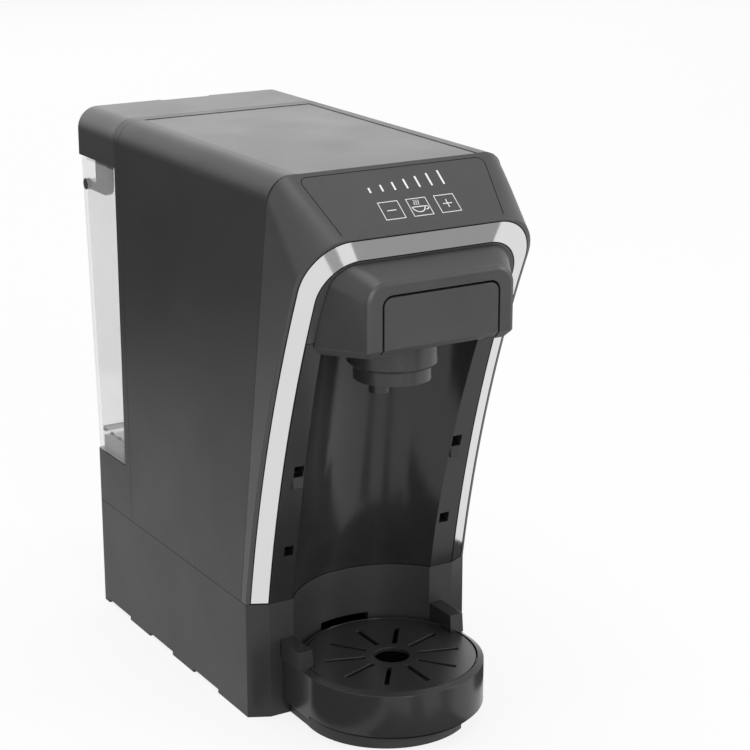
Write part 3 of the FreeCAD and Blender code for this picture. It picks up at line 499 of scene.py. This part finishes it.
# %% Square keys, minus and plus
KEY_SIDE = 10.9 * MM
KEY_LINE = 0.37 * MM
KEY_DOWN = 28.05 * MM
KEY_PLACES = (-12.55 * MM, 2.75 * MM, 18.15 * MM)
SIGN_LONG = 4.9 * MM
SIGN_LINE = 0.46 * MM


def leave_line(bm, verts, line):
    faces = list({face for vert in verts for face in vert.link_faces})
    bmesh.ops.inset_region(bm, faces=faces, thickness=line, use_boundary=True, use_even_offset=True)
    bmesh.ops.delete(bm, geom=faces, context="FACES")


keys = bmesh.new()
for key_x in KEY_PLACES:
    leave_line(keys, flat_block(keys, key_x, KEY_DOWN, KEY_SIDE, KEY_SIDE), KEY_LINE)
lay_on_film(keys, "key_squares", "pale_ink")

minus_x, cup_x, plus_x = KEY_PLACES
stub = (SIGN_LONG - SIGN_LINE) / 2
signs = bmesh.new()
for sign_x in (minus_x, plus_x):
    flat_block(signs, sign_x, KEY_DOWN, SIGN_LONG, SIGN_LINE)
for side in (-1, 1):
    flat_block(signs, plus_x, KEY_DOWN + side * (SIGN_LINE + stub) / 2, SIGN_LINE, stub)
lay_on_film(signs, "minus_and_plus", "pale_ink")

# %% [markdown]
# ## The cup sign
# The middle key shows a cup with steam. The bowl is the lower half of a circle that is cut by a
# plane and left as a line, the handle is a smaller ring that is cut where it meets the bowl, and the
# steam is three strokes bent by a sine.

# %% Bowl and handle of the cup
CUP_LINE = 0.5 * MM
BOWL_SHIFT = 0.7 * MM
BOWL_DOWN = 27.6 * MM
BOWL_RADIUS = 3.7 * MM
BOWL_SIDES = 28
HANDLE_LINE = 0.9 * CUP_LINE
HANDLE_OUT = 0.35 * MM
HANDLE_DROP = 1.3 * MM
HANDLE_RADIUS = 1.25 * MM
HANDLE_KEPT = 0.55 * MM
HANDLE_SIDES = 18


def flat_disc(bm, x, down, radius, sides):
    bmesh.ops.create_circle(bm, cap_ends=True, segments=sides, radius=radius,
                            matrix=Matrix.Translation((x, -down, 0)))


def cut_away(bm, point, side):
    everything = bm.verts[:] + bm.edges[:] + bm.faces[:]
    bmesh.ops.bisect_plane(bm, geom=everything, plane_co=point, plane_no=side, clear_outer=True)


bowl_x = cup_x - BOWL_SHIFT
cup = bmesh.new()
flat_disc(cup, bowl_x, BOWL_DOWN, BOWL_RADIUS, BOWL_SIDES)
cut_away(cup, (0, -BOWL_DOWN, 0), (0, 1, 0))
leave_line(cup, cup.verts[:], CUP_LINE)
lay_on_film(cup, "cup_bowl", "pale_ink")

handle_x = bowl_x + BOWL_RADIUS + HANDLE_OUT
handle = bmesh.new()
flat_disc(handle, handle_x, BOWL_DOWN + HANDLE_DROP, HANDLE_RADIUS, HANDLE_SIDES)
leave_line(handle, handle.verts[:], HANDLE_LINE)
cut_away(handle, (handle_x - HANDLE_KEPT, 0, 0), (-1, 0, 0))
lay_on_film(handle, "cup_handle", "pale_ink")

# %% Steam over the cup
STEAM_TALL = 3.0 * MM
STEAM_LINE = 0.34 * MM
STEAM_BEND = 0.32 * MM
STEAM_STEP = 1.15 * MM
STEAM_LIFT = 2.3 * MM
STEAM_ROWS = 8
steam = bmesh.new()
for stroke in (-1, 0, 1):
    wisp = unit_square(steam, Matrix.Diagonal((STEAM_LINE, STEAM_TALL, 1, 1)), STEAM_ROWS)
    for vert in wisp:
        vert.co.x += STEAM_BEND * math.sin(2 * math.pi * vert.co.y / STEAM_TALL)
    bmesh.ops.translate(steam, verts=wisp, vec=(bowl_x + stroke * STEAM_STEP, STEAM_LIFT - BOWL_DOWN, 0))
lay_on_film(steam, "cup_steam", "pale_ink")

# %% [markdown]
# ## The line round the panel
# A thin dark line frames the panel. It runs just under the upper edge, turns with round corners and
# follows the creases of the cheeks down to the bright arch. The outline is one face with four corners.
# Its upper corners are bevelled, only a line is kept, and the strip along the arch is deleted.

# %% Dark line round the panel
PANEL_TOP = 2.4 * MM
PANEL_FOOT = 39 * MM
PANEL_TOP_HALF = 51.5 * MM
PANEL_FOOT_HALF = 44.5 * MM
PANEL_ROUND = 5 * MM
PANEL_ROUND_STEPS = 8
PANEL_LINE = 0.42 * MM
PANEL_LINE_PROUD = 0.01 * MM
panel = bmesh.new()
lower = [panel.verts.new((side * PANEL_FOOT_HALF, -PANEL_FOOT, 0)) for side in (-1, 1)]
upper = [panel.verts.new((side * PANEL_TOP_HALF, -PANEL_TOP, 0)) for side in (1, -1)]
panel.faces.new(lower + upper)
bmesh.ops.bevel(panel, geom=upper, offset=PANEL_ROUND, offset_type="OFFSET", affect="VERTICES",
                segments=PANEL_ROUND_STEPS, profile=0.5, material=-1)
leave_line(panel, panel.verts[:], PANEL_LINE)
strip_top = 2 * PANEL_LINE - PANEL_FOOT
strip = [face for face in panel.faces if max(vert.co.y for vert in face.verts) < strip_top]
bmesh.ops.delete(panel, geom=strip, context="FACES")
lay_on_film(panel, "panel_line", "groove_black", PANEL_LINE_PROUD)

# %% [markdown]
# ## Dark lines beside the bright arch
# The arch is clipped into a groove, so a hair-wide gap shows along both of its edges. The arch's own
# front faces give the course of the gap: a merged copy of them is inset, and only the rim is kept.

# %% Gap lines of the arch
ARCH_GAP = 0.55 * MM
ARCH_GAP_LIFT = 0.04 * MM
FACES_FRONT = -0.5
SAME_PLACE = 0.001 * MM
arch = bmesh.new()
arch.from_mesh(frame["nodes"]["chrome_trim"].data)
bmesh.ops.remove_doubles(arch, verts=arch.verts[:], dist=SAME_PLACE)
arch.normal_update()
turned_away = [face for face in arch.faces if face.normal.y > FACES_FRONT]
bmesh.ops.delete(arch, geom=turned_away, context="FACES")
leave_line(arch, arch.verts[:], ARCH_GAP)
bmesh.ops.translate(arch, verts=arch.verts[:], vec=(0, -ARCH_GAP_LIFT, 0))
bmesh.ops.solidify(arch, geom=arch.faces[:], thickness=ARCH_GAP_LIFT)
finish_piece(arch, "arch_gap_lines", "machine", "groove_black")

# %% [markdown]
# ## Shoulders of tray and plinth
# Seen from above, the tray is round in front, but its sides run straight back to the housing, and the
# plinth under it does the same. A shoulder fills each corner between the circle and the housing. Its
# inner side is an arc spun from one point just inside the round wall, and the arc is extruded sideways
# to the straight side and then upwards.

# %% A pair of shoulders
SHOULDER_SUNK = 1.0 * MM
SHOULDER_STEPS = 6
HOUSING_GAP = 0.3 * MM
housing_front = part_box("base_shell")[0].y


def round_shoulders(name, body, finish, middle_y, radius, low, high):
    inner_radius = radius - SHOULDER_SUNK
    reach = housing_front - HOUSING_GAP - middle_y
    bm = bmesh.new()
    start = bm.verts.new((inner_radius, middle_y, low))
    bmesh.ops.spin(bm, geom=[start], cent=(0, middle_y, low), axis=(0, 0, 1),
                   angle=math.asin(reach / inner_radius), steps=SHOULDER_STEPS)
    for vert in new_verts(bmesh.ops.extrude_edge_only(bm, edges=bm.edges[:])):
        vert.co.x = radius
    pull_faces(bm, (0, 0, high - low))
    bmesh.ops.mirror(bm, geom=bm.verts[:] + bm.edges[:] + bm.faces[:], axis="X", merge_dist=0.0)
    bmesh.ops.recalc_face_normals(bm, faces=bm.faces[:])
    finish_piece(bm, name, body, finish)


print("front of the housing at", in_mm([housing_front]))

# %% Put the shoulders beside tray and plinth
TRAY_SHOULDER_TALL = 23.4 * MM
PLINTH_RADIUS = 43.4 * MM
PLINTH_CLEAR = 0.3 * MM
tray_low, tray_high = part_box("drip_tray")
tray_radius = (tray_high.y - tray_low.y) / 2
tray_middle = tray_low.y + tray_radius
round_shoulders("tray_shoulders", "drip_tray", "tray_black", tray_middle, tray_radius,
                tray_low.z, tray_low.z + TRAY_SHOULDER_TALL)
plate_low, plate_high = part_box("base_plate")
round_shoulders("plinth_shoulders", "machine", "dark_plastic", plate_low.y + PLINTH_RADIUS, PLINTH_RADIUS,
                plate_low.z + PLINTH_CLEAR, plate_high.z)

# %% [markdown]
# ## Painted shade at the joint under the tray
# The lower edge of the tray is bevelled towards the plinth and lies in deep shade, so it reads as a
# dark line. That shade is painted on: a single slanted edge is spun once round the tray, given a hair
# of thickness just outside the bevel and finished in near-black.

# %% Painted shade at the joint under the tray
JOINT_TALL = 1.6 * MM
JOINT_PROUD = 0.05 * MM
JOINT_STEPS = 96
joint_radius = tray_radius + JOINT_PROUD
joint = bmesh.new()
joint_outline = [(joint_radius, tray_low.z + JOINT_TALL), (joint_radius - JOINT_TALL, tray_low.z)]
joint_ends = [joint.verts.new((0, tray_middle - out, up)) for out, up in joint_outline]
joint_edge = joint.edges.new(joint_ends)
bmesh.ops.spin(joint, geom=joint_ends + [joint_edge], cent=(0, tray_middle, 0), axis=(0, 0, 1),
               angle=2 * math.pi, steps=JOINT_STEPS, use_merge=True)
bmesh.ops.recalc_face_normals(joint, faces=joint.faces[:])
bmesh.ops.solidify(joint, geom=joint.faces[:], thickness=JOINT_PROUD)
# painted shade: a near-black ring over the shaded bevel
finish_piece(joint, "tray_joint_shade", "drip_tray", "groove_black")

# %% [markdown]
# ## The top sheet
# The sheet in the top cover lies almost flush, with a thin line round it. The solid of the sheet sits
# lower, so a sheet of the same outline stands in for it: a flat block with softened edges.

# %% Nearly flush top sheet
SHEET_STEP = 0.25 * MM
SHEET_PLAY = 0.2 * MM
SHEET_EDGE = 0.2 * MM


def soften(bm, edges, wide):
    bmesh.ops.bevel(bm, geom=edges, offset=wide, affect="EDGES", segments=2, profile=0.5, material=-1)


sheet_low, sheet_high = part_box("top_panel")
sheet_high.z = solid_high.z - SHEET_STEP
sheet_span = sheet_high - sheet_low - Vector((SHEET_PLAY, SHEET_PLAY, 0))
sheet_place = Matrix.Translation((sheet_low + sheet_high) / 2)
sheet = bmesh.new()
bmesh.ops.create_cube(sheet, size=1.0, matrix=sheet_place @ Matrix.Diagonal((*sheet_span, 1)))
soften(sheet, sheet.edges[:], SHEET_EDGE)
top_sheet = finish_piece(sheet, "top_sheet", "machine", "top_black")
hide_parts("top_panel")

# %% [markdown]
# ## Studs on the tank's floor
# Short studs stand along both sides of the tank's floor. Each is a cone that narrows a little
# upwards, as moulded studs do, and its upper rim is softened.

# %% Studs on the tank's floor
TANK_FLOOR = 10.2 * MM
TANK_WALL = 2.2 * MM
STUD_COUNT = 4
STUD_RADIUS = 1.1 * MM
STUD_TIP_RADIUS = 0.85 * STUD_RADIUS
STUD_TALL = 1.6 * MM
STUD_RIM = 0.25 * MM
STUD_SIDES = 16
STUD_FRONT = 4.5 * MM
STUD_STEP = 10 * MM
tank_low, tank_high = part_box("water_tank")
floor_z = tank_low.z + TANK_FLOOR
stud_middle = floor_z + STUD_TALL / 2
studs = bmesh.new()
for side in (-1, 1):
    stud_x = side * (tank_high.x - TANK_WALL - STUD_RADIUS)
    for number in range(STUD_COUNT):
        stud_place = Matrix.Translation((stud_x, tank_low.y + STUD_FRONT + number * STUD_STEP, stud_middle))
        bmesh.ops.create_cone(studs, cap_ends=True, segments=STUD_SIDES, radius1=STUD_RADIUS,
                              radius2=STUD_TIP_RADIUS, depth=STUD_TALL, matrix=stud_place)
rims = [edge for edge in studs.edges if min(vert.co.z for vert in edge.verts) > stud_middle]
soften(studs, rims, STUD_RIM)
finish_piece(studs, "tank_studs", "tank", "hinge_grey")

# %% [markdown]
# ## The fillet in the tank
# A low fillet runs along the rear of the tank's floor. Its section is one triangle, which is extruded
# from one side wall to the other.

# %% Fillet along the rear of the tank's floor
TANK_TAPER = 9.3 * MM
FILLET_SIDE = 2.6 * MM
FILLET_GAP = 0.15 * MM
tank_back_low = tank_high.y - TANK_TAPER
fillet_x = tank_high.x - TANK_WALL - FILLET_GAP
fillet_y = tank_back_low - TANK_WALL + FILLET_GAP
section = [(fillet_y, floor_z), (fillet_y - FILLET_SIDE, floor_z), (fillet_y, floor_z + FILLET_SIDE)]
fillet = bmesh.new()
fillet.faces.new([fillet.verts.new((-fillet_x, y, z)) for y, z in section])
pull_faces(fillet, (2 * fillet_x, 0, 0))
finish_piece(fillet, "tank_fillet", "tank", "hinge_grey")

# %% [markdown]
# ## Painted shade under the tank
# The tank's skirt stands over a raised platform, and the room between them lies in shade and shows dark
# through the clear wall. A dark collar fills it as painted shade: a flat frame, left by an inset of one
# block, that is extruded upwards.
# wall. A collar fills it: a flat frame, left by an inset of one block, that is extruded upwards.

# %% Painted shade round the platform
COLLAR_GAP = 0.4 * MM
COLLAR_WIDE = 6.5 * MM
COLLAR_TALL = 7.6 * MM
collar_x = tank_high.x - TANK_WALL - COLLAR_GAP
collar_front = tank_low.y + TANK_WALL + COLLAR_GAP
collar_rear = tank_back_low - TANK_WALL - COLLAR_GAP
collar_place = Matrix.Translation((0, (collar_front + collar_rear) / 2, tank_low.z))
collar_span = Matrix.Diagonal((2 * collar_x, collar_rear - collar_front, 1, 1))
collar = bmesh.new()
leave_line(collar, unit_square(collar, collar_place @ collar_span), COLLAR_WIDE)
pull_faces(collar, (0, 0, COLLAR_TALL))
# painted shade: a dark frame where the room under the tank's skirt lies in shade
finish_piece(collar, "platform_gap_shade", "machine", "dark_plastic")

# %% [markdown]
# ## Cut edges of the tank
# The edges of clear plastic gather light and show as pale lines. Each side wall gets a thin line round
# its outline, in a paler ink, where true refraction would need many more light paths.

# %% Pale line along the tank's edges
EDGE_LINE = 0.8 * MM
EDGE_PROUD = 0.05 * MM
ink("cut_edge", level=0.86, roughness=0.30)
wall_outline = [(tank_low.y, tank_low.z), (tank_back_low, tank_low.z),
                (tank_high.y, tank_high.z), (tank_low.y, tank_high.z)]
edge_lines = bmesh.new()
for side in (-1, 1):
    corners = [edge_lines.verts.new((side * tank_high.x, y, z)) for y, z in wall_outline]
    edge_lines.faces.new(corners)
    leave_line(edge_lines, corners, EDGE_LINE)
edge_faces = edge_lines.faces[:]
bmesh.ops.recalc_face_normals(edge_lines, faces=edge_faces)
bmesh.ops.solidify(edge_lines, geom=edge_faces, thickness=EDGE_PROUD)
finish_piece(edge_lines, "tank_edges", "tank", "cut_edge")

# %% [markdown]
# ## The table
# The photograph has a white studio sweep. A wide white floor stands in for it. For the camera and in
# reflections the floor is mixed with plain white, so that it reads as white but still keeps the
# machine's shadow.

# %% White floor
FLOOR_REACH = 9.0
FLOOR_WHITE = 0.85
FLOOR_PLAIN = 0.85
FLOOR_ROUGHNESS = 0.9
SEEN_RAYS = ("Is Camera Ray", "Is Glossy Ray", "Is Transmission Ray")


def seen(net):
    camera_ray, glossy_ray, through_ray = [
        net.node("ShaderNodeLightPath", output=kind) for kind in SEEN_RAYS]
    return camera_ray + glossy_ray + through_ray


def glow(net, level):
    return net.node("ShaderNodeEmission", {}, {"Color": grey(level), "Strength": 1.0})


floor_net = new_finish("white_floor")
floor_paint = surface_of(floor_net, base_color=grey(FLOOR_WHITE), roughness=FLOOR_ROUGHNESS)
floor_mix = {0: seen(floor_net) * FLOOR_PLAIN, 1: floor_paint, 2: glow(floor_net, 1.0)}
show(floor_net, floor_net.node("ShaderNodeMixShader", {}, floor_mix))
floor_bm = bmesh.new()
bmesh.ops.create_grid(floor_bm, x_segments=1, y_segments=1, size=FLOOR_REACH)
floor = mesh_object(floor_bm, "floor", "white_floor")
print("floor laid")

# %% [markdown]
# ## The light
# Plain soft light: an even room that is white where it is seen or mirrored and dimmer where it lights
# the machine, one big soft lamp above, a wide one behind that brightens the top cover, and three
# narrow upright ones at the front and the sides.

# %% The pale room
ROOM_LIGHT = 0.62
world = bpy.data.worlds.new("room")
bpy.context.scene.world = world
world.use_nodes = True
world.node_tree.nodes.clear()
room = Net(world.node_tree)
dim, white = [room.node("ShaderNodeBackground", {}, {"Color": grey(level), "Strength": 1.0})
              for level in (ROOM_LIGHT, 1.0)]
both = room.node("ShaderNodeMixShader", {}, {0: seen(room), 1: dim, 2: white})
room.node("ShaderNodeOutputWorld", {}, {"Surface": both})
print("room lit at", ROOM_LIGHT)

# %% Soft lamps
MACHINE_MIDDLE = Vector((0.0, 0.0, 0.15))


def soft_lamp(name, place, wide, tall, power):
    lamp_data = bpy.data.lights.new(name, "AREA")
    lamp_data.shape = "RECTANGLE"
    lamp_data.size = wide
    lamp_data.size_y = tall
    lamp_data.energy = power
    lamp = bpy.data.objects.new(name, lamp_data)
    lamp.location = place
    lamp.rotation_euler = (MACHINE_MIDDLE - Vector(place)).to_track_quat("-Z", "Y").to_euler()
    lamp.visible_camera = False
    bpy.context.scene.collection.objects.link(lamp)
    print(name, "at", place, "power", power)


soft_lamp("lamp_above", place=(-0.2, 0.1, 2.2), wide=1.4, tall=1.4, power=16)
soft_lamp("lamp_behind", place=(0.4, 2.6, 1.15), wide=3.8, tall=1.3, power=16)
soft_lamp("strip_right", place=(1.7, -1.4, 0.7), wide=0.45, tall=1.5, power=16)
soft_lamp("strip_front", place=(-0.35, -2.3, 0.7), wide=0.40, tall=1.5, power=16)
soft_lamp("strip_left", place=(-1.9, -1.0, 0.8), wide=0.25, tall=1.5, power=1)

# %% [markdown]
# ## Dark cards
# A photographer sets black cards beside a shiny object, so that it does not reflect white all over.
# Two small cards stand in front, where the top and the corner of the bright arch mirror them, two at
# the left, where the side cover does, and a low one beside the tray. Five more lie on the table: one
# darkens the foot of the bay, the gaps beside the two long ones are the bay's upright streaks, one
# darkens the side of the brewing head, and the last, at the right, the bevel under it. All of them
# show in reflections only.

# %% Cards that stand
def dark_card(name, place, facing, wide, tall, level, lean=90):
    turned = Matrix.Rotation(math.radians(facing), 4, "Z") @ Matrix.Rotation(math.radians(lean), 4, "X")
    card_bm = bmesh.new()
    unit_square(card_bm, Matrix.Translation(place) @ turned @ Matrix.Diagonal((wide, tall, 1, 1)))
    card_net = new_finish(name + "_cloth")
    show(card_net, glow(card_net, level))
    card = mesh_object(card_bm, name, name + "_cloth")
    for kind in ("camera", "diffuse", "transmission", "shadow"):
        setattr(card, "visible_" + kind, False)
    print(name, "at", place)


dark_card("card_front", place=(0.29, -0.553, 0.085), facing=17, wide=0.17, tall=0.17, level=0.40)
dark_card("card_corner", place=(0.00, -0.385, 0.06), facing=0, wide=0.05, tall=0.12, level=0.45)
dark_card("card_side", place=(-0.34, 0.48, 0.13), facing=30, wide=0.80, tall=0.26, level=0.12)
dark_card("card_left", place=(-0.45, 0.13, 0.10), facing=56, wide=0.30, tall=0.20, level=0.12)
dark_card("card_tray", place=(-0.066, -0.116, 0.017), facing=90, wide=0.108, tall=0.034, level=0.08)

# %% Cards that lie flat
CARD_CLEAR = 2 * MM


def lying_card(name, x, y, facing, wide, tall, level):
    dark_card(name, (x, y, CARD_CLEAR), facing, wide, tall, level, lean=0)


lying_card("card_table", x=-0.008, y=-0.150, facing=0, wide=0.084, tall=0.04, level=0.10)
lying_card("card_streak_right", x=0.058, y=-0.235, facing=15, wide=0.026, tall=0.14, level=0.30)
lying_card("card_streak_left", x=-0.015, y=-0.235, facing=-4, wide=0.020, tall=0.14, level=0.30)
lying_card("card_head", x=-0.57, y=0.05, facing=0, wide=0.60, tall=0.36, level=0.05)
lying_card("card_bevel", x=0.125, y=-0.060, facing=0, wide=0.115, tall=0.13, level=0.05)
